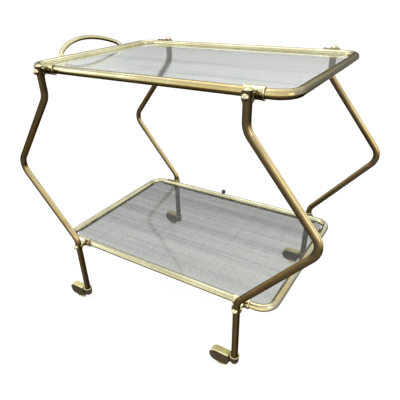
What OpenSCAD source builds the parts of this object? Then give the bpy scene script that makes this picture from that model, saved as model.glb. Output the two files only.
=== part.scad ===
// Two-tier bar cart: bent tube legs, glass shelves, a bow handle and hooded casters.
// Millimetres. +Z is up, +X runs towards the right end, +Y towards the back, and the floor is Z = 0.

/* [Shelves] */
// Distance between the centre lines of the two end rails
shelf_length = 660; // [600:5:760]
// Distance between the centre lines of the front and back rails
shelf_width = 453.5; // [400:0.5:560]
// Outer diameter of the rail tube
rail_d = 18.5; // [16:0.5:20]
// Wall thickness of every tube
tube_wall = 1.3; // [1:0.1:2]
// Bend radius of the rail corners, measured on the centre line
rail_corner_r = 38; // [34:1:60]
// Height of the top rail centre above the floor
rail_top_z = 695; // [660:1:760]
// Height of the low rail centre above the floor
rail_low_z = 211.5; // [195:0.5:240]

/* [Legs] */
// Outer diameter of the leg tube
leg_d = 17.2; // [15:0.1:19]
// Distance of the leg plane outside the long rail, centre to centre
leg_offset = 29.3; // [28:0.1:34]
// Distance of the upper leg stems inside the end rails, centre to centre
leg_top_inset = 68; // [62:0.5:90]
// Distance of the lower leg stems inside the end rails, centre to centre
leg_foot_inset = 71.6; // [62:0.1:90]
// Distance of the virtual knee corners outside the end rails
knee_reach = 99.7; // [60:0.1:110]
// Height of the virtual knee corner
knee_z = 436.6; // [420:0.1:450]
// Height of the virtual corner of the upper bend
upper_bend_z = 637.1; // [620:0.1:645]
// Height of the virtual corner of the lower bend
lower_bend_z = 231.4; // [225:0.1:250]
// Centre line radius of the upper bend
upper_bend_r = 42; // [30:1:50]
// Centre line radius of the knee
knee_r = 38; // [30:1:60]
// Centre line radius of the lower bend
lower_bend_r = 38; // [28:1:42]

/* [Glass] */
// Thickness of the glass panes
glass_t = 5; // [4:0.5:6]
// Corner radius of the glass panes
glass_corner_r = 34; // [25:1:50]
// Thickness of the soft pads under the glass
pad_t = 1; // [0.5:0.1:2]
// Thickness of the ledge strips
ledge_t = 2; // [1.5:0.1:3]

/* [Handle] */
// Outer diameter of the handle tube
handle_d = 11.5; // [8:0.5:14]
// Half distance between the handle ends
handle_half_span = 115; // [90:0.5:130]
// Bend radius at the two ends of the handle
handle_end_r = 18; // [14:1:24]
// Radius of the long bow of the handle
handle_bow_r = 195; // [150:1:240]
// Outward lean of the handle from upright, in degrees
handle_lean = 45.5; // [40:0.5:50]

/* [Casters] */
// Wheel radius over the tyre
wheel_r = 21.5; // [20:0.5:23]
// Distance of the wheel centre behind the leg axis
wheel_trail = 36.5; // [35:0.5:40]
// Width of the caster hood
hood_w = 21; // [20:0.5:24]
// Yaw of the back left caster, in degrees
caster_yaw_back_left = -13; // [-30:1:30]

/* [Display] */
// Name of the one node to draw, or all

/* [Hidden] */
$fn = 72;

// Clearance in seats that do not move
fit = 0.05;
// Running clearance of pins in their bores
run_fit = 0.05;
// Clearance that keeps separate loose parts apart
air = 0.5;

// Straight runs lap over the bends and stand proud of them by a hair, so that each joint has a clean edge
bend_lap = 0.4;
bend_step = 0.04;

rail_r = rail_d / 2;
leg_r = leg_d / 2;
half_length = shelf_length / 2;
half_width = shelf_width / 2;
leg_y = half_width + leg_offset;
leg_top_x = half_length - leg_top_inset;
leg_foot_x = half_length - leg_foot_inset;
knee_x = half_length + knee_reach;

// Socket cup round the foot of each leg
cup_rim_z = 52;
cup_r = 12.7;
cup_bore_r = leg_r + 0.85;
cup_floor_z = 45.7;
cup_low_z = 35;
cup_low_r = 11;
leg_foot_z = 48;

// Fittings: a half sleeve over the outer side of the rail, and a saddle for the leg
sleeve_l = 41;
sleeve_r = 12.2;
collar_r = 12.9;
collar_l = 5;
collar_chamfer = 0.8;
saddle_r = leg_r + 3.5;
saddle_top = 8;
saddle_low = -11.5;
saddle_taper = 6;
saddle_wrap = 2;
web_half = 9;
screw_r = 2.5;
screw_head_r = 6.7;
screw_skirt = 1.6;
screw_tip_y = 6;

// Upper end of the leg tube and its domed cap
leg_end_z = rail_top_z + saddle_top + air;
cap_rim_r = leg_r + 0.7;
cap_rim_h = 2.2;
cap_dome_h = 4.5;
cap_plug_wall = 2;
cap_plug_l = leg_end_z - rail_top_z - screw_r - 1;

// Glass, pads and ledges: the glass lies just inside the rail
glass_inset = rail_r + 2 * air;
glass_half_x = half_length - glass_inset;
glass_half_y = half_width - glass_inset;
ledge_top = -glass_t - pad_t;
ledge_reach = 14.5;
ledge_root = 4;
ledge_long = 2 * (half_length - rail_corner_r);
ledge_short = 2 * (half_width - rail_corner_r);
pad_w = 2.4;
pad_l = 24;
pad_line = glass_inset + pad_w / 2 + air;

// Handle
handle_r = handle_d / 2;
handle_base_x = -(half_length + 8.7);
handle_base_z = 3;
handle_straight = 2;
handle_bow_angle = asin((handle_half_span - handle_end_r) / (handle_bow_r - handle_end_r));
handle_bow_half = handle_bow_angle + asin(bend_lap / handle_bow_r);
handle_bow_z = handle_straight - (handle_bow_r - handle_end_r) * cos(handle_bow_angle);
ferrule_r = handle_r + 2;
ferrule_l = 13;

// Ball knob on the back of the low rail
knob_x = -44;
knob_r = 7.5;
knob_neck_r = 3.5;
knob_out = 15.5;
knob_angle = 50;

// Caster details
hood_end_r = 20.5;
hood_end_x = -49.5;
hood_top_z = 51.5;
hood_low_z = 14;
hood_front_x = -14;
hood_edge_r = 4;
hood_heel_r = 11;
hood_wall = 2.8;
wheel_air = 1.2;
wheel_half = hood_w / 2 - hood_wall - 0.7;
hub_r = wheel_r - 1.9;
tyre_half = wheel_half - 1.5;
tyre_seat_r = wheel_r - 4;
tyre_crown = 2.4;
dish_r = wheel_r - 5;
dish_depth = 1.2;
boss_r = 5;
boss_rise = 0.35;
axle_r = 2.5;
axle_cover = 0.8;
neck_half = 6.5;
neck_low_z = 27;
neck_top_z = 48.5;
stem_pin_r = 4.5;
stem_low_z = 31;
stem_flange_r = leg_r - 0.2;
stem_plug_r = leg_r - tube_wall - fit;
stem_plug_l = 34;

CORNERS = [["front_left", -1, -1], ["front_right", 1, -1], ["back_left", -1, 1], ["back_right", 1, 1]];
SIDES = ["front", "back", "left", "right"];
TIERS = ["top", "low"];

// Colours
brass = [0.78, 0.66, 0.36];
dark_brass = [0.42, 0.34, 0.2];
glass_grey = [0.72, 0.75, 0.75, 0.6];
rubber = [0.1, 0.1, 0.1];
clear_pad = [0.9, 0.9, 0.88];

// Unit vector from p to q
function way(p, q) = (q - p) / norm(q - p);

// Turn between two unit directions, in degrees
function turn_angle(a, b) = acos(a * b);

// Length that a bend of radius r takes from each straight beside the corner at b
function bend_cut(a, b, c, r) = r * tan(turn_angle(way(a, b), way(b, c)) / 2);

// Centre of the bend at b
function bend_centre(a, b, c, r) =
    b + (way(b, c) - way(a, b)) / norm(way(b, c) - way(a, b)) * r / cos(turn_angle(way(a, b), way(b, c)) / 2);

// Straight tube body between two points of the XZ plane, lapping a little over the bends at its ends
module straight(p, q, r) {
    d = q - p;
    translate([p[0], 0, p[1]])
        rotate([0, atan2(d[0], d[1]), 0])
            translate([0, 0, -bend_lap])
                cylinder(h = norm(d) + 2 * bend_lap, r = r + bend_step);
}

// Bent tube body at corner b of the XZ plane
module bend(a, b, c, bend_r, r) {
    centre = bend_centre(a, b, c, bend_r);
    start = b - way(a, b) * bend_cut(a, b, c, bend_r);
    end = b + way(b, c) * bend_cut(a, b, c, bend_r);
    start_angle = atan2(start[1] - centre[1], start[0] - centre[0]);
    end_angle = atan2(end[1] - centre[1], end[0] - centre[0]);
    left_turn = way(a, b)[0] * way(b, c)[1] - way(a, b)[1] * way(b, c)[0] > 0;
    translate([centre[0], 0, centre[1]])
        rotate([90, 0, 0])
            rotate([0, 0, left_turn ? start_angle : end_angle])
                rotate_extrude(angle = turn_angle(way(a, b), way(b, c)))
                    translate([bend_r, 0])
                        circle(r = r);
}

// Corners of the leg path, from the foot up to the open top, less the lap that straight() adds at its ends
function leg_path(extra) = [
    [leg_foot_x, leg_foot_z + bend_lap - extra],
    [leg_foot_x, lower_bend_z],
    [knee_x, knee_z],
    [leg_top_x, upper_bend_z],
    [leg_top_x, leg_end_z - bend_lap + extra]
];

// Height above the low rail at which the leg starts to bend
low_straight = lower_bend_z - rail_low_z
    - bend_cut([leg_foot_x, 0], [leg_foot_x, lower_bend_z], [knee_x, knee_z], lower_bend_r);

// Leg-shaped body of radius r, lengthened by extra at both ends
module leg_body(r, extra) {
    p = leg_path(extra);
    low_cut = bend_cut(p[0], p[1], p[2], lower_bend_r);
    knee_cut = bend_cut(p[1], p[2], p[3], knee_r);
    up_cut = bend_cut(p[2], p[3], p[4], upper_bend_r);
    straight(p[0], p[1] - way(p[0], p[1]) * low_cut, r);
    bend(p[0], p[1], p[2], lower_bend_r, r);
    straight(p[1] + way(p[1], p[2]) * low_cut, p[2] - way(p[1], p[2]) * knee_cut, r);
    bend(p[1], p[2], p[3], knee_r, r);
    straight(p[2] + way(p[2], p[3]) * knee_cut, p[3] - way(p[2], p[3]) * up_cut, r);
    bend(p[2], p[3], p[4], upper_bend_r, r);
    straight(p[3] + way(p[3], p[4]) * up_cut, p[4], r);
}

// Right-hand leg in its own plane, drilled for the two fitting screws
module leg_tube() {
    color(brass)
        difference() {
            leg_body(leg_r, 0);
            leg_body(leg_r - tube_wall, 1);
            for (at = [[leg_top_x, rail_top_z], [leg_foot_x, rail_low_z]])
                translate([at[0], leg_r + 1, at[1]])
                    rotate([90, 0, 0])
                        cylinder(h = leg_d + 2, r = screw_r + fit);
        }
}

module place_leg(side, face) {
    translate([0, face * leg_y, 0])
        mirror([side < 0 ? 1 : 0, 0, 0])
            children();
}

// Domed cap with a hollow plug that sits in the top of the leg tube
module leg_cap() {
    dome_r = (cap_rim_r * cap_rim_r + cap_dome_h * cap_dome_h) / (2 * cap_dome_h);
    color(brass)
        translate([leg_top_x, 0, leg_end_z])
            rotate_extrude()
                difference() {
                    union() {
                        square([cap_rim_r, cap_rim_h]);
                        translate([0, -cap_plug_l])
                            square([leg_r - tube_wall - fit, cap_plug_l]);
                        intersection() {
                            translate([0, cap_rim_h + cap_dome_h - dome_r])
                                circle(r = dome_r);
                            translate([0, cap_rim_h])
                                square([cap_rim_r, cap_dome_h]);
                        }
                    }
                    translate([0, -cap_plug_l - 1])
                        square([leg_r - tube_wall - fit - cap_plug_wall, cap_plug_l]);
                }
}

// Closed loop of tube with round corners, on the XY plane
module rail_body(r) {
    run_x = half_length - rail_corner_r;
    run_y = half_width - rail_corner_r;
    for (s = [-1, 1]) {
        translate([-run_x, s * half_width, 0])
            rotate([0, 90, 0])
                cylinder(h = 2 * run_x, r = r);
        translate([s * half_length, run_y, 0])
            rotate([90, 0, 0])
                cylinder(h = 2 * run_y, r = r);
    }
    for (q = [0 : 3])
        translate([(q == 0 || q == 3) ? run_x : -run_x, q < 2 ? run_y : -run_y, 0])
            rotate([0, 0, 90 * q])
                rotate_extrude(angle = 90)
                    translate([rail_corner_r, 0])
                        circle(r = r);
}

function fitting_x(tier) = tier == "top" ? leg_top_x : leg_foot_x;

// Rail drilled in its outer wall for the fitting screws
module shelf_rail(tier) {
    color(brass)
        difference() {
            rail_body(rail_r);
            rail_body(rail_r - tube_wall);
            for (s = [-1, 1], f = [-1, 1])
                translate([s * fitting_x(tier), f * (half_width + rail_d), 0])
                    rotate([f * 90, 0, 0])
                        cylinder(h = rail_d - rail_r / 2, r = screw_r + fit);
        }
}

// Cast fitting at the crossing of rail and leg: rail along X at the origin, leg on the +Y side
module fitting_body(top_z) {
    difference() {
        union() {
            half_sleeve();
            translate([0, leg_offset, 0])
                saddle_body(top_z);
            web_body(top_z);
        }
        rotate([0, 90, 0])
            cylinder(h = sleeve_l + 2, r = rail_r + fit, center = true);
        translate([0, leg_offset, saddle_low - 1])
            cylinder(h = top_z - saddle_low + 2, r = leg_r + bend_step + fit);
        rotate([-90, 0, 0])
            cylinder(h = leg_offset, r = screw_r + fit);
    }
}

// Sleeve with a collar at each end, over the outer side of the rail only
module half_sleeve() {
    difference() {
        rotate([0, 90, 0]) {
            cylinder(h = sleeve_l, r = sleeve_r, center = true);
            for (s = [-1, 1])
                translate([0, 0, s * (sleeve_l - collar_l) / 2])
                    collar_ring();
        }
        translate([-sleeve_l, -2 * collar_r, -2 * collar_r])
            cube([2 * sleeve_l, 2 * collar_r, 4 * collar_r]);
    }
}

// Raised collar at the end of a sleeve, with both edges chamfered
module collar_ring() {
    rotate_extrude()
        polygon([
            [0, -collar_l / 2],
            [collar_r - collar_chamfer, -collar_l / 2],
            [collar_r, -collar_l / 2 + collar_chamfer],
            [collar_r, collar_l / 2 - collar_chamfer],
            [collar_r - collar_chamfer, collar_l / 2],
            [0, collar_l / 2]
        ]);
}

// Half-round saddle behind the leg, tapered at its lower end
module saddle_body(top_z) {
    difference() {
        rotate_extrude()
            polygon([
                [0, saddle_low],
                [leg_r + 0.8, saddle_low],
                [saddle_r, saddle_low + saddle_taper],
                [saddle_r, top_z - 1],
                [saddle_r - 1, top_z],
                [0, top_z]
            ]);
        translate([-2 * saddle_r, saddle_wrap, saddle_low - 1])
            cube([4 * saddle_r, 2 * saddle_r, top_z - saddle_low + 2]);
    }
}

// Web that joins the sleeve and the saddle, with a sloping underside
module web_body(top_z) {
    translate([-web_half, 0, 0])
        rotate([90, 0, 90])
            linear_extrude(height = 2 * web_half)
                polygon([
                    [0, -sleeve_r + 1],
                    [leg_offset - saddle_r + 2, saddle_low + saddle_taper + 1],
                    [leg_offset, saddle_low + saddle_taper],
                    [leg_offset, top_z - 2],
                    [0, top_z]
                ]);
}

module place_fitting(tier, side, face) {
    translate([side * fitting_x(tier), face * half_width, tier == "top" ? rail_top_z : rail_low_z])
        mirror([0, face < 0 ? 1 : 0, 0])
            mirror([side < 0 ? 1 : 0, 0, 0])
                children();
}

module fitting(tier, side, face) {
    color(dark_brass)
        place_fitting(tier, side, face)
            fitting_body(tier == "top" ? saddle_top : min(saddle_top, low_straight - air));
}

// Dome-headed screw that enters from outside the leg
module dome_screw() {
    seat = leg_offset + leg_r + bend_step + fit;
    translate([0, screw_tip_y, 0])
        rotate([-90, 0, 0])
            cylinder(h = seat - screw_tip_y + screw_skirt, r = screw_r);
    translate([0, seat, 0])
        rotate([-90, 0, 0])
            cylinder(h = screw_skirt, r = screw_head_r);
    intersection() {
        translate([0, seat + screw_skirt, 0])
            sphere(r = screw_head_r);
        translate([-screw_head_r, seat + screw_skirt / 2, -screw_head_r])
            cube([screw_head_r * 2, screw_head_r * 2, screw_head_r * 2]);
    }
}

module fitting_screws() {
    color(brass)
        for (tier = TIERS, side = [-1, 1], face = [-1, 1])
            place_fitting(tier, side, face)
                dome_screw();
}

// Straight ledge strip along +Y, coped to a rail whose axis is at the origin and reaching towards +X
module ledge_strip(length) {
    rotate([90, 0, 0])
        linear_extrude(height = length, center = true)
            difference() {
                union() {
                    translate([ledge_root, ledge_top - ledge_t])
                        square([ledge_reach - ledge_root - ledge_t / 2, ledge_t]);
                    translate([ledge_reach - ledge_t / 2, ledge_top - ledge_t / 2])
                        circle(r = ledge_t / 2);
                }
                circle(r = rail_r + fit);
            }
}

module ledge(tier, side) {
    z = tier == "top" ? rail_top_z : rail_low_z;
    color(brass)
        translate([0, 0, z])
            if (side == "left")
                translate([-half_length, 0, 0])
                    ledge_strip(ledge_short);
            else if (side == "right")
                translate([half_length, 0, 0])
                    rotate([0, 0, 180])
                        ledge_strip(ledge_short);
            else if (side == "front")
                translate([0, -half_width, 0])
                    rotate([0, 0, 90])
                        ledge_strip(ledge_long);
            else
                translate([0, half_width, 0])
                    rotate([0, 0, -90])
                        ledge_strip(ledge_long);
}

// Soft strips between the ledges and the glass
module glass_pads(z) {
    color(clear_pad)
        translate([0, 0, z + ledge_top + pad_t / 2]) {
            for (s = [-1, 1], f = [-1, 0, 1])
                translate([f * ledge_long * 0.42, s * (half_width - pad_line), 0])
                    cube([pad_l, pad_w, pad_t], center = true);
            for (s = [-1, 1], f = [-1, 1])
                translate([s * (half_length - pad_line), f * ledge_short * 0.34, 0])
                    cube([pad_w, pad_l, pad_t], center = true);
        }
}

module glass_pane(z) {
    color(glass_grey)
        translate([0, 0, z - glass_t])
            linear_extrude(height = glass_t)
                rounded_plate(glass_half_x, glass_half_y, glass_corner_r);
}

// Rounded rectangle drawn from its half sizes
module rounded_plate(hx, hy, r) {
    square([2 * (hx - r), 2 * hy], center = true);
    square([2 * hx, 2 * (hy - r)], center = true);
    for (s = [-1, 1], f = [-1, 1])
        translate([s * (hx - r), f * (hy - r)])
            circle(r = r);
}

// Handle body of radius r in its own plane
module handle_body(r) {
    for (s = [0, 1])
        mirror([s, 0, 0]) {
            translate([handle_half_span, 0, -rail_d])
                cylinder(h = rail_d + handle_straight + bend_lap, r = r + bend_step);
            translate([handle_half_span - handle_end_r, 0, handle_straight])
                rotate([90, 0, 0])
                    rotate_extrude(angle = 90 - handle_bow_angle)
                        translate([handle_end_r, 0])
                            circle(r = r);
        }
    translate([0, 0, handle_bow_z])
        rotate([90, 0, 0])
            rotate([0, 0, 90 - handle_bow_half])
                rotate_extrude(angle = 2 * handle_bow_half)
                    translate([handle_bow_r, 0])
                        circle(r = r + bend_step);
}

// Places handle parts on the left end of the top rail, leaning outwards
module place_handle() {
    translate([handle_base_x, 0, rail_top_z + handle_base_z])
        rotate([0, -handle_lean, 0])
            rotate([0, 0, 90])
                children();
}

// Clears the top rail out of the parts that are coped to it
module end_rail_cope() {
    translate([-half_length, 0, rail_top_z])
        rotate([90, 0, 0])
            cylinder(h = shelf_width, r = rail_r + fit, center = true);
    translate([-half_length, -half_width, rail_top_z - 3 * rail_d])
        cube([half_length, shelf_width, 6 * rail_d]);
    translate([-half_length - rail_d, -half_width, rail_top_z - 3 * rail_d])
        cube([2 * rail_d, shelf_width, 3 * rail_d - rail_r / 2]);
}

module handle() {
    color(brass)
        difference() {
            place_handle()
                difference() {
                    handle_body(handle_r);
                    handle_body(handle_r - tube_wall);
                }
            end_rail_cope();
        }
}

module ferrule(face) {
    color(brass)
        difference() {
            place_handle()
                translate([face * handle_half_span, 0, -rail_d])
                    difference() {
                        cylinder(h = rail_d + handle_straight - 0.5, r = ferrule_r);
                        translate([0, 0, -1])
                            cylinder(h = rail_d + ferrule_l, r = handle_r + fit);
                    }
            end_rail_cope();
        }
}

// Ball knob on a short neck, set on the back of the low rail
module rear_knob() {
    color(rubber)
        difference() {
            translate([knob_x, half_width, rail_low_z])
                rotate([knob_angle - 90, 0, 0]) {
                    cylinder(h = knob_out, r = knob_neck_r);
                    translate([0, 0, knob_out])
                        sphere(r = knob_r);
                }
            translate([knob_x, half_width, rail_low_z])
                rotate([0, 90, 0])
                    cylinder(h = 4 * knob_r, r = rail_r + fit, center = true);
        }
}

function caster_yaw(name) = name == "back_left" ? caster_yaw_back_left : 0;

// Puts caster parts, drawn round the leg axis with the wheel towards -X, at their leg
module place_caster(name, side, face) {
    translate([side * leg_foot_x, face * leg_y, 0])
        rotate([0, 0, caster_yaw(name)])
            children();
}

// Stem: plug in the leg tube, thrust flange and swivel pin
module caster_stem() {
    color(dark_brass)
        rotate_extrude()
            polygon([
                [0, stem_low_z],
                [stem_pin_r - 0.8, stem_low_z],
                [stem_pin_r, stem_low_z + 0.8],
                [stem_pin_r, cup_floor_z + 0.3],
                [stem_flange_r, cup_floor_z + 0.3],
                [stem_flange_r, leg_foot_z],
                [stem_plug_r, leg_foot_z],
                [stem_plug_r, leg_foot_z + stem_plug_l - 1],
                [stem_plug_r - 1, leg_foot_z + stem_plug_l],
                [0, leg_foot_z + stem_plug_l]
            ]);
}

// Half section of the hood: width along Y, height measured from the axis of the end arch
module hood_band(reach, half, edge) {
    difference() {
        square([reach, half]);
        translate([reach - edge, half - edge])
            difference() {
                square([edge + 1, edge + 1]);
                circle(r = edge);
            }
    }
}

// Arch and straight of the hood, as a solid with the given walls taken off
module hood_form(skin, edge) {
    reach = hood_end_r - skin;
    half = hood_w / 2 - skin;
    axis_z = hood_top_z - hood_end_r;
    for (s = [0, 1])
        mirror([0, s, 0])
            translate([hood_end_x, 0, axis_z]) {
                rotate([90, 0, 0])
                    mirror([0, 0, 1])
                        rotate([0, 0, 90])
                            rotate_extrude(angle = 180)
                                hood_band(reach, half, edge);
                rotate([0, -90, 0])
                    mirror([0, 0, 1])
                        linear_extrude(height = hood_front_x - hood_end_x)
                            union() {
                                hood_band(reach, half, edge);
                                translate([-reach, 0])
                                    square([reach, half]);
                            }
            }
}

// Side outline of the hood: everything outside it is cut away
module hood_outline() {
    translate([0, hood_w, 0])
        rotate([90, 0, 0])
            linear_extrude(height = 2 * hood_w) {
                translate([hood_end_x - 2 * hood_end_r, hood_low_z])
                    square([2 * hood_end_r - hood_end_x + hood_front_x - hood_heel_r, 2 * hood_end_r]);
                translate([hood_front_x - 2 * hood_heel_r, hood_low_z + hood_heel_r])
                    square([2 * hood_heel_r, 2 * hood_end_r]);
                translate([hood_front_x - hood_heel_r, hood_low_z + hood_heel_r])
                    circle(r = hood_heel_r);
            }
}

// Cup that the leg foot stands in
module cup_body() {
    rotate_extrude()
        difference() {
            union() {
                polygon([
                    [0, cup_low_z],
                    [cup_low_r, cup_low_z],
                    [cup_r, cup_rim_z - 1],
                    [cup_r - 0.6, cup_rim_z],
                    [0, cup_rim_z]
                ]);
                intersection() {
                    translate([0, cup_low_z])
                        circle(r = cup_low_r);
                    translate([0, cup_low_z - cup_low_r])
                        square([cup_low_r, 2 * cup_low_r]);
                }
            }
            translate([0, cup_floor_z])
                square([cup_bore_r, cup_rim_z]);
            translate([0, stem_low_z - 0.5])
                square([stem_pin_r + run_fit, cup_rim_z]);
        }
}

module caster_hood() {
    difference() {
        union() {
            intersection() {
                difference() {
                    hood_form(0, hood_edge_r);
                    hood_form(hood_wall, 0.5);
                }
                hood_outline();
            }
            difference() {
                translate([hood_front_x - hood_wall - 1, -neck_half, neck_low_z])
                    cube([hood_wall + 1 - hood_front_x - cup_low_r + 2, 2 * neck_half, neck_top_z - neck_low_z]);
                cylinder(h = cup_rim_z, r = cup_low_r - 1);
            }
            difference() {
                translate([hood_front_x - hood_wall, -hood_w / 2, neck_low_z + 6])
                    cube([hood_wall, hood_w, neck_top_z - neck_low_z - 6]);
                cylinder(h = cup_rim_z, r = cup_low_r - 1);
            }
            cup_body();
        }
        translate([-wheel_trail, 0, wheel_r])
            rotate([90, 0, 0]) {
                cylinder(h = 2 * (hood_w / 2 - hood_wall), r = wheel_r + wheel_air, center = true);
                cylinder(h = 2 * (hood_w / 2 - axle_cover), r = axle_r + fit, center = true);
            }
    }
}

module caster_axle() {
    color(dark_brass)
        translate([-wheel_trail, 0, wheel_r])
            rotate([90, 0, 0])
                cylinder(h = 2 * (hood_w / 2 - axle_cover - 0.1), r = axle_r, center = true);
}

// Wheel disc with dished sides, a groove for the tyre and a small boss at the axle
module caster_wheel() {
    color(brass)
        translate([-wheel_trail, 0, wheel_r])
            rotate([90, 0, 0])
                rotate_extrude() {
                    for (s = [0, 1])
                        mirror([0, s])
                            difference() {
                                union() {
                                    square([hub_r - 1, wheel_half]);
                                    square([hub_r, wheel_half - 1]);
                                    translate([hub_r - 1, wheel_half - 1])
                                        circle(r = 1);
                                    square([boss_r, wheel_half + boss_rise]);
                                }
                                translate([boss_r, wheel_half - dish_depth])
                                    square([dish_r - boss_r, dish_depth + 1]);
                                translate([tyre_seat_r, -1])
                                    square([wheel_r, tyre_half + 1]);
                                translate([-1, -1])
                                    square([axle_r + run_fit + 1, hood_w]);
                            }
                }
}

// Tyre with a crowned tread
module caster_tyre() {
    color(rubber)
        translate([-wheel_trail, 0, wheel_r])
            rotate([90, 0, 0])
                rotate_extrude()
                    for (s = [0, 1])
                        mirror([0, s])
                            difference() {
                                translate([tyre_seat_r + fit, 0])
                                    square([wheel_r - tyre_seat_r - fit, tyre_half - fit]);
                                translate([wheel_r - tyre_crown, tyre_half - fit - tyre_crown])
                                    difference() {
                                        square([tyre_crown + 1, tyre_crown + 1]);
                                        circle(r = tyre_crown);
                                    }
                            }
}

for (c = CORNERS) {
    place_leg(c[1], c[2]) leg_tube();
    place_leg(c[1], c[2]) leg_cap();
    fitting("top", c[1], c[2]);
    fitting("low", c[1], c[2]);
    place_caster(c[0], c[1], c[2]) caster_stem();
    place_caster(c[0], c[1], c[2]) color(dark_brass) caster_hood();
    place_caster(c[0], c[1], c[2]) caster_axle();
    place_caster(c[0], c[1], c[2]) caster_wheel();
    place_caster(c[0], c[1], c[2]) caster_tyre();
}
for (s = SIDES) {
    ledge("top", s);
    ledge("low", s);
}
translate([0, 0, rail_top_z]) shelf_rail("top");  // rail_top
translate([0, 0, rail_low_z]) shelf_rail("low");  // rail_low
fitting_screws();
glass_pads(rail_top_z);  // pads_top
glass_pads(rail_low_z);  // pads_low
glass_pane(rail_top_z);  // glass_top
glass_pane(rail_low_z);  // glass_low
handle();
ferrule(-1);  // ferrule_front
ferrule(1);  // ferrule_back
rear_knob();
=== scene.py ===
# %% [markdown]
# # A brass bar cart, dressed for the studio
# The cart is a screwed frame of brass tube. Two glass panes lie in round-cornered hoops, four bent legs
# stand outside them, and each leg ends in a hooded caster. The shapes arrive as CAD solids, so this lesson
# is about what a solid lacks: light that shows a tube is round, metal that has been handled for sixty years,
# and glass that is neither clean nor quite clear. All sizes are in metres, with Z up and the floor at zero.

# %% Load the frame
import math

import bmesh
import bpy
from mathutils import Matrix, Vector


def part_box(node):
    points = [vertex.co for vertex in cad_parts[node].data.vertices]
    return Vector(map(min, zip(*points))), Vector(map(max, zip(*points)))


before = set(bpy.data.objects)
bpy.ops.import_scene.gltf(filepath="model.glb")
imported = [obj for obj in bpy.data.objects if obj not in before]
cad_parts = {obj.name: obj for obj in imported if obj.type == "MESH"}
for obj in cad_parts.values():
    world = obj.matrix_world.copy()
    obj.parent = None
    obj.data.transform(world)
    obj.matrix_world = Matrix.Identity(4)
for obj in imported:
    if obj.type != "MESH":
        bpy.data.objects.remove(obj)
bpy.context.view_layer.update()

# %% [markdown]
# ## Names that repeat
# The solids are named by corner, tier and side, so three short lists reach nearly all of them.

# %% Names that repeat
CORNERS = ("front_left", "front_right", "back_left", "back_right")
TIERS = ("top", "low")
SIDES = ("front", "back", "left", "right")

for tier in TIERS:
    low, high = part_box("glass_" + tier)
    print(tier, "pane measures", [round(b - a, 4) for a, b in zip(low, high)])

# %% [markdown]
# ## The camera
# The view is from a little above the top shelf, close to the right end of the cart and looking down to the
# left. A camera is a place and three directions, so its matrix is written straight from them: the first
# column points right, the second up, and the third back towards the eye, because a Blender camera looks
# along its own -Z. Angles would do too, but three directions can be checked one by one. The view is cropped
# off centre, and the lens shift says by how much.

# %% Camera
camera_place = Vector((0.55182, -0.87894, 0.86272))
picture_right = Vector((0.84379, 0.53594, -0.02792))
picture_up = Vector((-0.26542, 0.46195, 0.84626))
towards_eye = Vector((0.46644, -0.70666, 0.53204))

turn = Matrix((picture_right, picture_up, towards_eye)).transposed().to_4x4()
camera_data = bpy.data.cameras.new("view_of_cart")
camera_data.sensor_width = 36.0
camera_data.lens = 35.708
camera_data.shift_x = 0.0208
camera_data.shift_y = 0.0726
camera_data.clip_start = 0.02
camera = bpy.data.objects.new("view_of_cart", camera_data)
camera.matrix_world = Matrix.Translation(camera_place) @ turn
bpy.context.scene.collection.objects.link(camera)
bpy.context.scene.camera = camera
bpy.context.scene.view_settings.view_transform = "Standard"
print("camera looks along", [round(v, 3) for v in -towards_eye])

# %% [markdown]
# ## Helpers for node trees
# A node tree is easier to read when each node is one line. `add` makes a node, links every value that is a
# socket and copies every value that is a number or a colour. The other helpers are the few kinds of node
# that the finishes use again and again. The same nodes could be wired by hand in the editor, but then every
# brass would have to be wired anew, and here only its values change.

# %% Add a node and feed it
def feed(tree, socket, value):
    """Links a socket to a socket, or sets its value."""
    if isinstance(value, bpy.types.NodeSocket):
        tree.links.new(value, socket)
    elif isinstance(value, tuple) and len(value) == 3 and len(socket.default_value) == 4:
        socket.default_value = (*value, 1.0)
    else:
        socket.default_value = value


def add(tree, kind, inputs=(), **settings):
    """Adds a node and returns it. Inputs are given by name or by number."""
    made = tree.nodes.new("ShaderNode" + kind)
    for name, value in settings.items():
        setattr(made, name, value)
    for name, value in dict(inputs).items():
        feed(tree, made.inputs[name], value)
    return made


print("helpers that add and feed a node are ready")


# %% Numbers and vectors
def maths(tree, operation, a, b, clamp=False):
    return add(tree, "Math", {0: a, 1: b}, operation=operation, use_clamp=clamp).outputs[0]


def times(tree, a, b):
    return maths(tree, "MULTIPLY", a, b)


def plus(tree, a, b):
    return maths(tree, "ADD", a, b)


def minus(tree, a, b):
    return maths(tree, "SUBTRACT", a, b)


def spread(tree, value, low, high, to_low=0.0, to_high=1.0):
    """Maps low to high onto to_low to to_high with soft ends."""
    inputs = {"Value": value, "From Min": low, "From Max": high, "To Min": to_low, "To Max": to_high}
    return add(tree, "MapRange", inputs, interpolation_type="SMOOTHSTEP").outputs["Result"]


def vectors(tree, operation, a, b):
    return add(tree, "VectorMath", {0: a, 1: b}, operation=operation).outputs["Vector"]


def along(tree, vector, way):
    """How far a vector goes along a direction."""
    return add(tree, "VectorMath", {0: vector, 1: way}, operation="DOT_PRODUCT").outputs["Value"]


print("helpers for numbers and vectors are ready")


# %% Colours and patterns
def mix_colours(tree, share, a, b, kind="MIX"):
    made = add(tree, "Mix", data_type="RGBA", blend_type=kind)
    for number, value in ((0, share), (6, a), (7, b)):
        feed(tree, made.inputs[number], value)
    return made.outputs[2]


def stained(tree, share, colour, stain):
    """A colour that is multiplied by a stain, as far as the share says."""
    return mix_colours(tree, share, colour, stain, "MULTIPLY")


def noise(tree, place, scale, detail=3.0, roughness=0.55):
    inputs = {"Vector": place, "Scale": scale, "Detail": detail, "Roughness": roughness}
    return add(tree, "TexNoise", inputs).outputs["Fac"]


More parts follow.
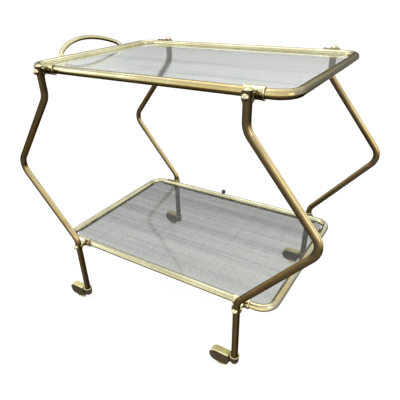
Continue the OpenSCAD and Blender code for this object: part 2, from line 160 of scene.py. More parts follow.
def squeezed(tree, place, scale):
    """A place that is scaled by its own number on each axis, for marks that run one way."""
    return add(tree, "Mapping", {"Vector": place, "Scale": scale}).outputs[0]


def blank_material(name):
    """A material with a Principled shader, ready to be fed."""
    material = bpy.data.materials.new(name)
    material.use_nodes = True
    return material, material.node_tree, material.node_tree.nodes["Principled BSDF"]


print("helpers for colours and patterns are ready")

# %% [markdown]
# ## The floor
# The cart stands on a pale floor, as for a catalogue picture. To the camera, and through the glass, the
# floor is white paint that keeps its shadows, and polished metal mirrors the same white. Stronger lamps
# would make it white too, but they would burn out the brass. So most of the white is a glow that answers
# only those three kinds of ray: it adds no diffuse light to the cart, and the shadows stay.

# %% Floor
FLOOR_HALF_SIZE = 60.0
FLOOR_PAINT = 0.36
FLOOR_GLOW = 0.78
WHITE = (1.0, 1.0, 1.0)

floor_form = bmesh.new()
bmesh.ops.create_grid(floor_form, x_segments=6, y_segments=6, size=FLOOR_HALF_SIZE)
floor_mesh = bpy.data.meshes.new("floor")
floor_form.to_mesh(floor_mesh)
floor_form.free()
floor = bpy.data.objects.new("floor", floor_mesh)
bpy.context.scene.collection.objects.link(floor)

floor_material = bpy.data.materials.new("floor_paint")
floor_material.use_nodes = True
tree = floor_material.node_tree
tree.nodes.clear()
rays = add(tree, "LightPath").outputs
direct = plus(tree, rays["Is Camera Ray"], rays["Is Transmission Ray"])
direct = maths(tree, "ADD", direct, rays["Is Glossy Ray"], clamp=True)
strength = times(tree, direct, FLOOR_GLOW)
paint = add(tree, "BsdfDiffuse", {"Color": (FLOOR_PAINT, FLOOR_PAINT, FLOOR_PAINT)}).outputs[0]
glow = add(tree, "Emission", {"Color": WHITE, "Strength": strength}).outputs[0]
both = add(tree, "AddShader", {0: paint, 1: glow}).outputs[0]
add(tree, "OutputMaterial", {"Surface": both})
floor_mesh.materials.append(floor_material)
print("floor paint", FLOOR_PAINT, "with a glow of", FLOOR_GLOW)

# %% [markdown]
# ## The surround
# A round tube needs something to mirror. The surround is a plain soft sky, a little darker in the middle
# heights, so that a tube shows a bright line, a calmer band and a bright rim. Low down behind the cart, and
# to the left, stands one dim wall. The glass mirrors it at a flat angle, which keeps the panes from turning
# plain white. Real panels could stand there, but they would show when the cart is seen from other sides. A
# ramp over the direction of the ray doesn't, because the camera's own rays see plain white.

# %% Surround
SKY_BANDS = ((0.14, 1.0), (0.30, 1.0), (0.45, 0.95), (0.66, 0.80), (0.80, 0.85))
WALL_DIMMING = 0.7

world = bpy.data.worlds.new("studio")
bpy.context.scene.world = world
world.use_nodes = True
tree = world.node_tree
tree.nodes.clear()
seen_directly = add(tree, "LightPath").outputs["Is Camera Ray"]
direction = add(tree, "SeparateXYZ", {0: add(tree, "TexCoord").outputs["Generated"]}).outputs
sky = add(tree, "ValToRGB", {"Fac": direction["Z"]})
band = sky.color_ramp
for position, level in SKY_BANDS:
    stop = band.elements.new(position)
    stop.color = (level, level, level * 0.99, 1.0)
band.elements[0].color = (0.90, 0.89, 0.87, 1.0)
band.elements[-1].color = (1.0, 1.0, 1.0, 1.0)

low_down = spread(tree, direction["Z"], 0.26, 0.40, to_low=1.0, to_high=0.0)
behind = spread(tree, direction["Y"], 0.05, 0.5)
to_the_left = spread(tree, direction["X"], -0.05, 0.2, to_low=1.0, to_high=0.0)
not_too_far = spread(tree, direction["X"], -0.86, -0.60)
wall = times(tree, low_down, times(tree, times(tree, behind, to_the_left), not_too_far))
lit_share = minus(tree, 1.0, times(tree, wall, WALL_DIMMING))
dimmed_sky = {0: sky.outputs["Color"], "Scale": lit_share}
room = add(tree, "VectorMath", dimmed_sky, operation="SCALE").outputs[0]
seen = mix_colours(tree, seen_directly, room, WHITE)
backdrop = add(tree, "Background", {"Color": seen, "Strength": 1.0}).outputs[0]
add(tree, "OutputWorld", {"Surface": backdrop})
print("surround has", len(band.elements), "bands and one dim wall")


# %% [markdown]
# ## Lamps
# The surround alone lights every side alike, and a frame of thin tubes then looks flat. Three large lamps
# add a direction: one overhead, one at the left like a window, and one that fills from the right. They are
# rectangles, as soft boxes are, because a small lamp would leave hard spots on polished tube.

# %% Lamps
def soft_lamp(name, place, aim, size, power):
    """A rectangular lamp that faces a point."""
    lamp = bpy.data.lights.new(name, "AREA")
    lamp.shape = "RECTANGLE"
    lamp.size, lamp.size_y = size
    lamp.energy = power
    made = bpy.data.objects.new(name, lamp)
    facing = (Vector(aim) - Vector(place)).to_track_quat("-Z", "Y").to_matrix().to_4x4()
    made.matrix_world = Matrix.Translation(place) @ facing
    bpy.context.scene.collection.objects.link(made)


middle = (0.0, 0.0, 0.4)
soft_lamp("overhead", place=(-0.6, 0.5, 2.6), aim=middle, size=(2.4, 1.6), power=10.0)
soft_lamp("window", place=(-2.4, -1.6, 1.5), aim=middle, size=(1.2, 1.8), power=8.0)
soft_lamp("fill", place=(2.6, -0.9, 1.3), aim=middle, size=(1.0, 1.6), power=8.0)


# %% [markdown]
# ## Effects that several finishes share
# Old brass is never one colour. It has cloudy tarnish, lines from drawing the tube and from years of wiping,
# pits, patches of old lacquer and one painted warm reflection, and some sides are given painted shade. Each
# effect is a node group that is made once and placed in each finish that shows it, with values of its own. A
# group gives out a mask, and the material decides what the mask does to colour, roughness or height. Copied
# nodes would look the same, but a change would then have to be made many times.

# %% A helper that starts a node group
def start_group(name, inputs, outputs):
    """A node group with float or vector inputs and float outputs."""
    group = bpy.data.node_groups.new(name, "ShaderNodeTree")
    for label, kind, value in inputs:
        socket = group.interface.new_socket(label, in_out="INPUT", socket_type="NodeSocket" + kind)
        if value is not None:
            socket.default_value = value
    for label in outputs:
        group.interface.new_socket(label, in_out="OUTPUT", socket_type="NodeSocketFloat")
    given = group.nodes.new("NodeGroupInput").outputs
    wanted = group.nodes.new("NodeGroupOutput").inputs
    return group, given, wanted


def use_group(tree, group, inputs):
    """Places a group in a material and feeds its inputs by name."""
    made = add(tree, "Group", node_tree=group)
    for name, value in inputs.items():
        feed(tree, made.inputs[name], value)
    return made.outputs


print("helpers for node groups are ready")

# %% [markdown]
# ### Cloudy tarnish
# Brass that is polished now and then keeps brown clouds where the cloth missed it. One noise would give soft
# blots, so there are two: a broad one for the clouds and a finer one that frays their edges. The cover says
# how much of the metal they take.

# %% Cloudy tarnish
FRAY_SCALE = 7.0
FRAY_STRENGTH = 0.35
NOTHING_COVERED = 1.05

tarnish_cloud, given, wanted = start_group(
    "tarnish_cloud",
    [
        ("Place", "Vector", None),
        ("Scale", "Float", 20.0),
        ("Cover", "Float", 0.5),
        ("Softness", "Float", 0.2),
    ],
    ["Mask"],
)
tree = tarnish_cloud
broad = noise(tree, given["Place"], given["Scale"], detail=5.0, roughness=0.62)
fraying = noise(tree, given["Place"], times(tree, given["Scale"], FRAY_SCALE), detail=3.0)
cloud = plus(tree, broad, times(tree, fraying, FRAY_STRENGTH))
start = minus(tree, NOTHING_COVERED, given["Cover"])
low = minus(tree, start, given["Softness"])
high = plus(tree, start, given["Softness"])
feed(tree, wanted["Mask"], spread(tree, cloud, low, high))
print("made", tarnish_cloud.name)

# %% [markdown]
# ### Lines from drawing and wiping
# A tube is drawn through a die, which leaves lines along it. A texture along a UV map could follow them, but
# these solids have no UV map. Every tube here is bent in one plane, though, and a line that keeps one
# distance from that plane runs along the whole tube, round its bends too. So the distance across the plane,
# stretched a great deal, feeds the noise, and the place adds only a slow change along the line.

# %% Lines from drawing and wiping
SLOW_CHANGE = 3.0

drawn_lines, given, wanted = start_group(
    "drawn_lines",
    [("Across", "Float", 0.0), ("Place", "Vector", None), ("Fineness", "Float", 900.0)],
    ["Broad", "Fine"],
)
tree = drawn_lines
across_lines = add(tree, "CombineXYZ", {0: times(tree, given["Across"], given["Fineness"])}).outputs[0]
slowed = {0: given["Place"], "Scale": SLOW_CHANGE}
along_lines = add(tree, "VectorMath", slowed, operation="SCALE").outputs[0]
line_place = vectors(tree, "ADD", along_lines, across_lines)
feed(tree, wanted["Broad"], noise(tree, line_place, scale=0.35, detail=2.0))
feed(tree, wanted["Fine"], noise(tree, line_place, scale=1.6, detail=3.0, roughness=0.6))
print("made", drawn_lines.name)

# %% [markdown]
# ### Pits and specks
# Pits in brass and specks of dust on glass are the same pattern: small round dots of many sizes, far apart.
# A noise with a high threshold would give ragged ones. The cells of a Voronoi texture give one round dot
# each, and their random colour gives the size. The share says how many cells have a dot at all.

# %% Pits and specks
LARGEST_DOT = 0.42
DOT_EDGE = (-0.02, 0.06)

specks, given, wanted = start_group(
    "specks",
    [("Place", "Vector", None), ("Scale", "Float", 500.0), ("Share", "Float", 0.5)],
    ["Mask"],
)
tree = specks
cell_inputs = {"Vector": given["Place"], "Scale": given["Scale"], "Randomness": 1.0}
cells = add(tree, "TexVoronoi", cell_inputs).outputs
luck = add(tree, "SeparateColor", {0: cells["Color"]}).outputs[0]
left_out = minus(tree, LARGEST_DOT, times(tree, given["Share"], LARGEST_DOT))
reach = minus(tree, times(tree, luck, LARGEST_DOT), left_out)
feed(tree, wanted["Mask"], spread(tree, minus(tree, reach, cells["Distance"]), *DOT_EDGE))
print("made", specks.name)

# %% [markdown]
# ### Patches of old lacquer, and a painted warm reflection
# Where the lacquer has lasted, the brass is a deeper gold. The patches are as long as a hand, so a slow
# noise makes them. A direction can be added in which the gold grows stronger, which is easier to move about
# than a patch that is painted on. The top rail uses it for a painted warm reflection at its front right
# corner.

# %% Patches of old lacquer, and a painted warm reflection
lacquer_and_glint_patches, given, wanted = start_group(
    "lacquer_and_glint_patches",
    [
        ("Place", "Vector", None),
        ("Warm Reflection Towards", "Vector", (0.0, 0.0, 0.0)),
        ("Start", "Float", 0.42),
        ("Full", "Float", 0.66),
        ("Warmth", "Float", 0.3),
    ],
    ["Mask"],
)
tree = lacquer_and_glint_patches
patches = noise(tree, given["Place"], scale=5.0, detail=2.0)
gold_level = plus(tree, patches, along(tree, given["Place"], given["Warm Reflection Towards"]))
golden = spread(tree, gold_level, given["Start"], given["Full"], to_high=given["Warmth"])
feed(tree, wanted["Mask"], golden)
print("made", lacquer_and_glint_patches.name)

# %% [markdown]
# ### Painted shade on some sides
# Some sides get painted shade, as if less light fell on them: the outer side of the right end rail, the
# flanks of a leg that face right and the sides of a saddle that face right and forwards. A patch of this
# shade is
# bounded twice: by the way that the surface faces, and by how far out on the cart it lies. Faces that look up
# and down count alike, and so do the front and the back half of the cart, so two helper vectors drop those
# signs first. Left at its defaults, the bound along the cart starts metres before it and so takes in the
# whole cart. A painted mask would be freer, but it needs a UV map.

# %% Painted shade on some sides
painted_shade_side, given, wanted = start_group(
    "painted_shade_side",
    [
        ("Facing", "Vector", None),
        ("Sides", "Vector", (1.0, 0.0, 0.0)),
        ("Side Start", "Float", 0.55),
        ("Side Full", "Float", 1.0),
        ("Place", "Vector", None),
        ("Way Out", "Vector", (1.0, 0.0, 0.0)),
        ("End Start", "Float", -9.0),
        ("End Full", "Float", -8.0),
    ],
    ["Mask"],
)
tree = painted_shade_side
upside_down = vectors(tree, "MULTIPLY", given["Facing"], (1.0, 1.0, -1.0))
up_or_down = vectors(tree, "MAXIMUM", given["Facing"], upside_down)
back_to_front = vectors(tree, "MULTIPLY", given["Place"], (1.0, -1.0, 1.0))
outwards = vectors(tree, "MAXIMUM", given["Place"], back_to_front)
on_side = along(tree, up_or_down, given["Sides"])
on_side = spread(tree, on_side, given["Side Start"], given["Side Full"])
at_end = along(tree, outwards, given["Way Out"])
at_end = spread(tree, at_end, given["End Start"], given["End Full"])
feed(tree, wanted["Mask"], times(tree, on_side, at_end))
print("made", painted_shade_side.name)


# %% [markdown]
# ## The brass recipe
# The frame is one alloy throughout, so one recipe makes every brass and only its values change. Its base is
# painted light: a colour ramp over the direction that a surface faces on the object paints a highlight on top
# and shade underneath, in place of the bright and dark surroundings that polished brass mirrors. A ramp over
# ambient occlusion would be another way, but it darkens only corners, and a tube has none.

# %% Colours by the way that a surface faces
# The colours of the ramp are painted highlight, painted shade and painted reflection, set by facing.
def colours_by_facing(tree, facing, colours):
    """A colour for each facing, from -1 for straight down to 1 for straight up."""
    half_facing = times(tree, facing, 0.5)
    ramp = add(tree, "ValToRGB", {"Fac": plus(tree, half_facing, 0.5)})
    shades = ramp.color_ramp
    while len(shades.elements) < len(colours):
        shades.elements.new(0.5)
    for stop, (upward, colour) in zip(shades.elements, colours):
        stop.position = upward * 0.5 + 0.5
        stop.color = (*colour, 1.0)
    return ramp.outputs["Color"]


print("helper for colours by facing is ready")

# %% Values that every brass shares
STRAIGHT_UP = (0.0, 0.0, 1.0)
TARNISH_BROWN = (0.42, 0.34, 0.24)
LACQUER_AND_GLINT_GOLD = (1.0, 0.84, 0.58)
BRASS_RIM = (0.40, 0.38, 0.34, 1.0)
CLOUD_DEPTH = 0.38
PIT_SCALE = 420.0
PIT_SHARE = 0.30
LINE_ROUGHNESS = 0.06
CLOUD_ROUGHNESS = 0.10
PIT_ROUGHNESS = 0.2
LINE_RELIEF = 0.6
PIT_RELIEF = 2.6
print("tarnish stains with", TARNISH_BROWN, "to a depth of", CLOUD_DEPTH)


# %% Brass
def brass(name, colours, across, fineness=900.0, cloud_scale=14.0, cover=0.40, roughness=0.08, stray=0.4,
          pitted=0.30, lit_from=STRAIGHT_UP, lacquer_and_glint=None, shade_side=None, shade_tint=WHITE):
    """Polished, handled brass. across is square to the plane that the tube is bent in."""
    material, tree, shader = blank_material(name)
    where = add(tree, "TexCoord").outputs
    place = where["Object"]
    across_plane = along(tree, place, across)
    lines = use_group(tree, drawn_lines, {"Across": across_plane, "Place": place, "Fineness": fineness})
    cloud = use_group(tree, tarnish_cloud, {"Place": place, "Scale": cloud_scale, "Cover": cover})["Mask"]
    pits = use_group(tree, specks, {"Place": place, "Scale": PIT_SCALE, "Share": PIT_SHARE})["Mask"]
    golden = use_group(tree, lacquer_and_glint_patches, {"Place": place, **(lacquer_and_glint or {})})["Mask"]

    # The broad lines make the edge of the painted highlight and shade waver along the tube, and lit_from
    # tilts it.
    wander = times(tree, minus(tree, lines["Broad"], 0.5), stray)
    facing = along(tree, where["Normal"], lit_from)
    colour = colours_by_facing(tree, plus(tree, facing, wander), colours)
    # Lacquer gold; on the top rail it is also a painted warm reflection.
    colour = stained(tree, golden, colour, LACQUER_AND_GLINT_GOLD)
    colour = stained(tree, times(tree, cloud, CLOUD_DEPTH), colour, TARNISH_BROWN)
    colour = stained(tree, times(tree, pits, pitted), colour, TARNISH_BROWN)
    # Chosen sides get extra painted shade.
    if shade_side:
        stretch = {"Facing": where["Normal"], "Place": place, **shade_side}
        colour = stained(tree, use_group(tree, painted_shade_side, stretch)["Mask"], colour, shade_tint)
    feed(tree, shader.inputs["Base Color"], colour)

    rough = plus(tree, roughness, times(tree, lines["Fine"], LINE_ROUGHNESS))
    rough = plus(tree, rough, times(tree, cloud, CLOUD_ROUGHNESS))
    rough = plus(tree, rough, times(tree, pits, PIT_ROUGHNESS))
    feed(tree, shader.inputs["Roughness"], rough)
    shader.inputs["Metallic"].default_value = 1.0
    shader.inputs["Specular Tint"].default_value = BRASS_RIM

    raised = times(tree, lines["Fine"], LINE_RELIEF)
    relief = minus(tree, raised, times(tree, pits, pitted * PIT_RELIEF))
    bump = add(tree, "Bump", {"Strength": 0.14, "Distance": 0.0002, "Height": relief})
    feed(tree, shader.inputs["Normal"], bump.outputs[0])
    return material


print("the brass recipe uses", [group.name for group in bpy.data.node_groups])

# %% [markdown]
# ## Rails and handle
# The rails and the handle carry a painted highlight on their upper half and painted shade on their
# undersides.
# Their colour changes within about ten degrees, at the widest line of the tube. The outer side of the right
# end gets a cool painted shade, and a painted warm reflection gathers towards the front right corner of the
# top rail. The handle leans outwards, so its lines run in a leaning plane. It has the same colours and no
# shaded end.

# %% Rails and handle
# Painted shade below the widest line of the tube, painted highlight above it.
RAIL_PAINTED_LIGHT = (
    (-1.0, (0.035, 0.030, 0.016)),
    (-0.34, (0.055, 0.044, 0.022)),
    (-0.10, (0.17, 0.135, 0.060)),
    (0.07, (0.82, 0.77, 0.41)),
    (0.35, (0.82, 0.80, 0.53)),
    (1.0, (0.80, 0.78, 0.57)),
)
HANDLE_LEAN = math.radians(45.5)
SQUARE_TO_HANDLE = (math.cos(HANDLE_LEAN), 0.0, math.sin(HANDLE_LEAN))

rail_brass = brass(
    "rail_tube_brass",
    RAIL_PAINTED_LIGHT,
    across=STRAIGHT_UP,
    # Painted warm reflection, gathering towards the front right corner of the top rail.
    lacquer_and_glint={"Warm Reflection Towards": (0.6, -0.3, 0.3), "Start": 0.76, "Full": 1.02, "Warmth": 0.9},
    # Cool painted shade on the outer side of the right end.
    shade_side={"Sides": (1.0, 0.0, 0.0), "Side Start": 0.30, "End Start": 0.300, "End Full": 0.335},
    shade_tint=(0.30, 0.33, 0.48),
)
handle_brass = brass("handle_tube_brass", RAIL_PAINTED_LIGHT, across=SQUARE_TO_HANDLE)
print("made", rail_brass.name, "and", handle_brass.name)

# %% [markdown]
# ## Legs
# The legs carry painted shade, a dark brown, on their sides, and a painted highlight on the upper sides of
# their slopes. That highlight leans a little to the right, as if lit from the upper right, and the flanks
# that face right get the deepest painted shade. Straight underneath, a slope is pale again with a painted
# reflection of the pale floor. A second brass for the undersides would leave a hard border on the tube, and
# the ramp over the facing blends them.

# %% Legs
# Painted reflection of the floor underneath, painted shade on the sides, painted highlight on top.
LEG_PAINTED_LIGHT = (
    (-1.0, (0.80, 0.68, 0.44)),
    (-0.80, (0.60, 0.48, 0.28)),
    (-0.60, (0.045, 0.032, 0.015)),
    (0.0, (0.080, 0.058, 0.028)),
    (0.22, (0.11, 0.080, 0.038)),
    (0.40, (0.33, 0.24, 0.11)),
    (0.63, (0.60, 0.48, 0.25)),
    (0.80, (0.92, 0.78, 0.44)),
    (1.0, (0.98, 0.90, 0.60)),
)
FRONT_TO_BACK = (0.0, 1.0, 0.0)

leg_brass = brass(
    "leg_tube_brass",
    LEG_PAINTED_LIGHT,
    across=FRONT_TO_BACK,
    cover=0.32,
    lit_from=(0.25, 0.0, 1.0),
    lacquer_and_glint={"Warmth": 0.5},
    # Painted shade on the flanks that face right.
    shade_side={"Sides": (1.0, 0.0, -1.5), "Side Start": 0.3},
    shade_tint=(0.25, 0.23, 0.20),
)
print("made", leg_brass.name)

# %% [markdown]
# ## Cast fittings and screws
# Castings have no drawn lines. A recipe of their own would repeat most of the first one, so they use the same
# with other values: a slanting direction and little fineness, because their grain is coarse and lies in no
# plane of the cart, and smaller clouds. Like the tubes, they carry a painted highlight on top and painted
# shade below. The saddles get more painted shade on the sides that face right and forwards. The collars of
# the handle share this brass. The domed screws have no such extra shade.

# %% Cast fittings and screws
# Painted shade below, painted highlight above.
CAST_PAINTED_LIGHT = (
    (-1.0, (0.035, 0.028, 0.018)),
    (-0.30, (0.055, 0.042, 0.026)),
    (-0.10, (0.16, 0.12, 0.07)),
    (0.10, (0.80, 0.70, 0.46)),
    (0.60, (0.95, 0.88, 0.62)),
    (1.0, (0.95, 0.88, 0.60)),
)
CAST_GRAIN = (0.3, 0.5, 0.8)
CAST_FINENESS = 60.0
SADDLE = {"Way Out": FRONT_TO_BACK, "End Start": 0.2385, "End Full": 0.2415}

cast_brass = brass(
    "cast_fitting_brass",
    CAST_PAINTED_LIGHT,
    across=CAST_GRAIN,
    fineness=CAST_FINENESS,
    cloud_scale=40.0,
    cover=0.30,
    roughness=0.10,
    stray=0.2,
    pitted=0.06,
    # Painted shade on the saddle sides that face right and forwards.
    shade_side={"Sides": (1.0, -1.0, -0.6), **SADDLE},
    shade_tint=(0.28, 0.24, 0.20),
)
screw_brass = brass(
    "dome_screw_brass",
    CAST_PAINTED_LIGHT,
    across=(0.2, 0.9, 0.3),
    fineness=CAST_FINENESS,
    cloud_scale=60.0,
    cover=0.30,
    roughness=0.10,
    stray=0.1,
    pitted=0.04,
)
print("made", cast_brass.name, "and", screw_brass.name)

# %% [markdown]
# ## Caps, hoods and stems
# The caps on the legs are cast domes. They carry a painted highlight where they look up and painted shade,
# nearly black, at the rim, so their ramp has its step higher up than that of the fittings. The hoods near the
# floor have the same painted step, and they are scuffed, which makes them the least glossy of all. Stems and
# axles hardly show. They could be left plain, but a caster that is taken apart shows them, so they get the
# fine level lines of a turned pin over the same painted highlight and shade as the fittings.

# %% Caps, hoods and stems
# Painted shade at the rim, painted highlight where the dome looks up.
CAP_PAINTED_LIGHT = (
    (-1.0, (0.030, 0.024, 0.016)),
    (0.15, (0.075, 0.058, 0.034)),
    (0.32, (0.62, 0.56, 0.36)),
    (0.55, (0.97, 0.94, 0.76)),
    (0.80, (0.97, 0.90, 0.55)),
    (1.0, (0.98, 0.90, 0.50)),
)
# Painted shade on the sides, painted highlight on top.
HOOD_PAINTED_LIGHT = (
    (-1.0, (0.050, 0.040, 0.027)),
    (0.15, (0.115, 0.090, 0.058)),
    (0.32, (0.66, 0.60, 0.38)),
    (0.55, (1.00, 0.97, 0.76)),
    (0.80, (1.00, 0.95, 0.56)),
    (1.0, (1.00, 0.94, 0.50)),
)

cap_brass = brass(
    "leg_cap_brass",
    CAP_PAINTED_LIGHT,
    across=CAST_GRAIN,
    fineness=CAST_FINENESS,
    cloud_scale=40.0,
    cover=0.25,
    roughness=0.10,
    stray=0.1,
    pitted=0.04,
)
hood_brass = brass(
    "caster_hood_brass",
    HOOD_PAINTED_LIGHT,
    across=CAST_GRAIN,
    fineness=CAST_FINENESS,
    cloud_scale=40.0,
    cover=0.34,
    roughness=0.58,
    stray=0.1,
    pitted=0.08,
    lacquer_and_glint={"Warmth": 0.2},
)
stem_metal = brass(
    "caster_stem_metal",
    # The same painted highlight and shade as the fittings.
    CAST_PAINTED_LIGHT,
    across=STRAIGHT_UP,
    fineness=1500.0,
    cloud_scale=50.0,
    roughness=0.3,
    stray=0.3,
)
print("made", cap_brass.name, hood_brass.name, stem_metal.name)

# %% [markdown]
# ## The film on the glass
# A pane that is wiped with a dry cloth keeps a film: broad and fine marks along the shelf, a few across it,
# and a grain of dust in between. A noise that is squeezed less along X than along Y turns into streaks along
# X, and the other way round for the marks across. All of them are added up before one soft threshold, so
# that they fray each other's edges. With a threshold each, they would look like layers of film.

# %% The film on the glass
BROAD_SQUEEZE = (0.6, 15.0, 1.0)
FINE_SQUEEZE = (1.2, 170.0, 1.0)
CROSS_SQUEEZE = (90.0, 1.5, 1.0)
GRAIN_SCALE = 260.0

wiped_film, given, wanted = start_group(
    "wiped_film",
    [
        ("Place", "Vector", None),
        ("Broad Marks", "Float", 1.0),
        ("Fine Marks", "Float", 0.25),
        ("Cross Marks", "Float", 0.1),
        ("Grain", "Float", 0.5),
        ("Paler Towards", "Vector", (0.0, 0.0, 0.0)),
        ("Clear Below", "Float", 0.4),
        ("Dusty Above", "Float", 1.0),
    ],
    ["Film"],
)
tree = wiped_film
broad = noise(tree, squeezed(tree, given["Place"], BROAD_SQUEEZE), scale=1.0, detail=4.0, roughness=0.62)
fine = noise(tree, squeezed(tree, given["Place"], FINE_SQUEEZE), scale=1.0, detail=2.0, roughness=0.6)
crossing = noise(tree, squeezed(tree, given["Place"], CROSS_SQUEEZE), scale=1.0, detail=2.0, roughness=0.6)
grain = noise(tree, given["Place"], GRAIN_SCALE, detail=2.0, roughness=0.6)
film = plus(tree, times(tree, broad, given["Broad Marks"]), times(tree, fine, given["Fine Marks"]))
film = plus(tree, film, times(tree, minus(tree, crossing, 0.5), given["Cross Marks"]))
film = plus(tree, film, times(tree, grain, given["Grain"]))
film = plus(tree, film, along(tree, given["Place"], given["Paler Towards"]))
feed(tree, wanted["Film"], spread(tree, film, given["Clear Below"], given["Dusty Above"]))
print("made", wiped_film.name)

# %% [markdown]
# ## The panes
# The panes are float glass. They lean on three things: a strong reflection at a low angle, which clear glass
# gives by itself, a tint, and the film. The film changes colour and roughness only, and it is thin on the top
# pane. The top pane's tint is green-grey. The low pane's dark grey tint is painted shade, since the real pane
# is clear and only looks grey. The low pane is paler towards the front right.
# Lamps shine through glass in reality, but a path tracer takes a solid pane for a wall, so a Transparent
# shader answers the rays that are looking for a lamp.

# %% Glass
SPECK_WHITE = (0.97, 0.98, 0.97)
LAMPLIGHT_THROUGH = (0.86, 0.87, 0.87)
DUST_SPECKS = {"Scale": 42.0, "Share": 0.20}
CLEAN_ROUGHNESS = 0.01
FILM_ROUGHNESS = 0.03
SPECK_ROUGHNESS = 0.2
RIPPLE_SCALE = 12.0


def pane_glass(name, tint, dusty, film_values):
    """Tinted glass under a film, with specks of dust on it."""
    material, tree, shader = blank_material(name)
    place = add(tree, "TexCoord").outputs["Object"]
    film = use_group(tree, wiped_film, {"Place": place, **film_values})["Film"]
    dust = use_group(tree, specks, {"Place": place, **DUST_SPECKS})["Mask"]
    colour = mix_colours(tree, film, tint, dusty)
    feed(tree, shader.inputs["Base Color"], mix_colours(tree, dust, colour, SPECK_WHITE))
    rough = plus(tree, CLEAN_ROUGHNESS, times(tree, film, FILM_ROUGHNESS))
    rough = plus(tree, rough, times(tree, dust, SPECK_ROUGHNESS))
    feed(tree, shader.inputs["Roughness"], rough)
    shader.inputs["Transmission Weight"].default_value = 1.0
    shader.inputs["IOR"].default_value = 1.45
    ripple = noise(tree, place, RIPPLE_SCALE)
    bump = add(tree, "Bump", {"Strength": 0.05, "Distance": 0.0004, "Height": ripple})
    feed(tree, shader.inputs["Normal"], bump.outputs[0])

    lamp_ray = add(tree, "LightPath").outputs["Is Shadow Ray"]
    clear = add(tree, "BsdfTransparent", {"Color": LAMPLIGHT_THROUGH}).outputs[0]
    both = add(tree, "MixShader", {0: lamp_ray, 1: shader.outputs[0], 2: clear}).outputs[0]
    feed(tree, tree.nodes["Material Output"].inputs["Surface"], both)
    return material


print("recipe for the panes is ready")

# %% The two panes
THIN_FILM = {
    "Broad Marks": 1.7,
    "Fine Marks": 0.22,
    "Cross Marks": 0.35,
    "Grain": 0.25,
    "Clear Below": 0.525,
    "Dusty Above": 1.135,
}
GRAINY_FILM = {
    "Broad Marks": 0.75,
    "Fine Marks": 0.30,
    "Cross Marks": 0.1,
    "Grain": 0.90,
    "Paler Towards": (0.24, -0.80, 0.0),
    "Clear Below": 0.64,
    "Dusty Above": 1.38,
}
top_glass = pane_glass("top_glass", (0.42, 0.53, 0.47), (0.97, 1.0, 0.96), THIN_FILM)
# The low pane's dark grey tint is painted shade; the real glass is clear.
low_glass = pane_glass("low_glass", (0.18, 0.185, 0.175), (0.585, 0.595, 0.57), GRAINY_FILM)
print("glass:", top_glass.name, low_glass.name)

# %% [markdown]
# ## Wheels
# The wheel discs are turned on a lathe, so their marks are rings about the axle. A picture of rings would
# need a UV map. Here the distance from the axle feeds a noise, which gives rings of all widths. Each wheel
# tells the group its own centre, and the caster that has swung also tells how far it has to be turned back
# before its axle lies along Y.

# %% Lathe rings
RING_FINENESS = 1600.0

lathe_rings, given, wanted = start_group(
    "lathe_rings",
    [("Place", "Vector", None), ("Centre", "Vector", (0.0, 0.0, 0.0)), ("Turn Back", "Float", 0.0)],
    ["Rings"],
)
tree = lathe_rings
offset = vectors(tree, "SUBTRACT", given["Place"], given["Centre"])
turned_back = {"Vector": offset, "Angle": given["Turn Back"]}
straight = add(tree, "VectorRotate", turned_back, rotation_type="Z_AXIS").outputs[0]
flat = vectors(tree, "MULTIPLY", straight, (1.0, 0.0, 1.0))
radius = add(tree, "VectorMath", {0: flat}, operation="LENGTH").outputs["Value"]
radius_only = add(tree, "CombineXYZ", {0: radius}).outputs[0]
feed(tree, wanted["Rings"], noise(tree, radius_only, RING_FINENESS, detail=3.0))
print("made", lathe_rings.name)

# %% Turned metal
DISC_PALE = (0.90, 0.84, 0.62)
DISC_DEEP = (0.76, 0.66, 0.42)
DISC_TARNISH = (0.42, 0.33, 0.18)
DISC_CLOUD = {"Scale": 60.0, "Cover": 0.4}
DISC_CLOUD_DEPTH = 0.3


def turned_metal(name, centre, turn_back):
    """Lathe-turned metal with rings about a wheel's axle."""
    material, tree, shader = blank_material(name)
    place = add(tree, "TexCoord").outputs["Object"]
    rings = use_group(tree, lathe_rings, {"Place": place, "Centre": centre, "Turn Back": turn_back})["Rings"]
    cloud = use_group(tree, tarnish_cloud, {"Place": place, **DISC_CLOUD})["Mask"]
    colour = mix_colours(tree, rings, DISC_PALE, DISC_DEEP)
    colour = mix_colours(tree, times(tree, cloud, DISC_CLOUD_DEPTH), colour, DISC_TARNISH)
    feed(tree, shader.inputs["Base Color"], colour)
    feed(tree, shader.inputs["Roughness"], spread(tree, rings, 0.2, 0.8, to_low=0.16, to_high=0.34))
    shader.inputs["Metallic"].default_value = 1.0
    bump = add(tree, "Bump", {"Strength": 0.25, "Distance": 0.0002, "Height": rings})
    feed(tree, shader.inputs["Normal"], bump.outputs[0])
    return material


print("recipe for turned metal is ready")

# %% A disc for each caster
CASTER_SWING = {"back_left": math.radians(-13.0)}

disc_metal = {}
for corner in CORNERS:
    low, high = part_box("wheel_" + corner)
    centre = tuple((a + b) / 2 for a, b in zip(low, high))
    swing = CASTER_SWING.get(corner, 0.0)
    disc_metal[corner] = turned_metal("turned_disc_" + corner, centre, turn_back=-swing)
print("disc centres found for", list(disc_metal))

# %% [markdown]
# ## Rubber
# The tyres are black rubber that has picked up grey floor dust, the knob is a dull dark ball, and the pads
# under the glass are soft and pale. All three are moulded, so one recipe with a fine skin does for them.
# Dust settles in clouds much as tarnish does, so its mask is the same group at a smaller size.

# %% Rubber
FLOOR_DUST = {"Scale": 90.0, "Cover": 0.35}
DUST_DEPTH = 0.6
DUST_ROUGHNESS = 0.25
SKIN_SCALE = 1500.0


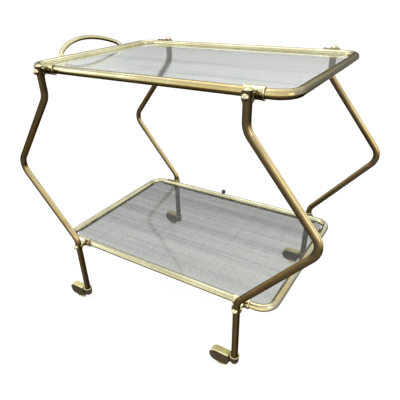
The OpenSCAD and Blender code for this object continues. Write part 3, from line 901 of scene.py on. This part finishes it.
def rubber(name, clean, dusty, roughness):
    """Moulded rubber with floor dust."""
    material, tree, shader = blank_material(name)
    place = add(tree, "TexCoord").outputs["Object"]
    dust = use_group(tree, tarnish_cloud, {"Place": place, **FLOOR_DUST})["Mask"]
    feed(tree, shader.inputs["Base Color"], mix_colours(tree, times(tree, dust, DUST_DEPTH), clean, dusty))
    rough = spread(tree, dust, 0.0, 1.0, to_low=roughness, to_high=roughness + DUST_ROUGHNESS)
    feed(tree, shader.inputs["Roughness"], rough)
    skin = noise(tree, place, SKIN_SCALE, detail=2.0)
    bump = add(tree, "Bump", {"Strength": 0.2, "Distance": 0.0003, "Height": skin})
    feed(tree, shader.inputs["Normal"], bump.outputs[0])
    return material


tyre_skin = rubber("dusty_tyre_skin", (0.018, 0.018, 0.018), (0.11, 0.105, 0.095), roughness=0.5)
knob_skin = rubber("dull_knob_skin", (0.045, 0.05, 0.045), (0.14, 0.145, 0.13), roughness=0.32)
pad_skin = rubber("pale_pad_skin", (0.62, 0.63, 0.62), (0.44, 0.43, 0.40), roughness=0.4)
print("rubbers:", tyre_skin.name, knob_skin.name, pad_skin.name)


# %% [markdown]
# ## Dressing the solids
# The solids keep their shapes, so each only needs its finish. A new mesh could carry the finish instead, but
# assigning to a slot changes the object's material and leaves its mesh alone.

# %% Dress one solid
def dress(name, material):
    """Gives a solid its finish in every material slot."""
    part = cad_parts[name]
    if not part.material_slots:
        part.data.materials.append(material)
    for slot in part.material_slots:
        slot.link = "OBJECT"
        slot.material = material


print("there are", len(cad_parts), "nodes to dress")

# %% Dress legs, fittings and casters
for corner in CORNERS:
    dress("leg_" + corner, leg_brass)
    dress("cap_" + corner, cap_brass)
    dress("stem_" + corner, stem_metal)
    dress("hood_" + corner, hood_brass)
    dress("axle_" + corner, stem_metal)
    dress("wheel_" + corner, disc_metal[corner])
    dress("tyre_" + corner, tyre_skin)
    for tier in TIERS:
        dress("fitting_" + tier + "_" + corner, cast_brass)
dress("fitting_screws", screw_brass)
print("dressed the", len(CORNERS), "corners and the screws")

# %% Dress shelves, handle and knob
for tier in TIERS:
    dress("rail_" + tier, rail_brass)
    dress("pads_" + tier, pad_skin)
    for side in SIDES:
        dress("ledge_" + tier + "_" + side, rail_brass)
dress("glass_top", top_glass)
dress("glass_low", low_glass)
dress("handle", handle_brass)
for end in ("front", "back"):
    dress("ferrule_" + end, cast_brass)
dress("rear_knob", knob_skin)
print("dressed the", len(TIERS), "shelves, the handle and the knob")
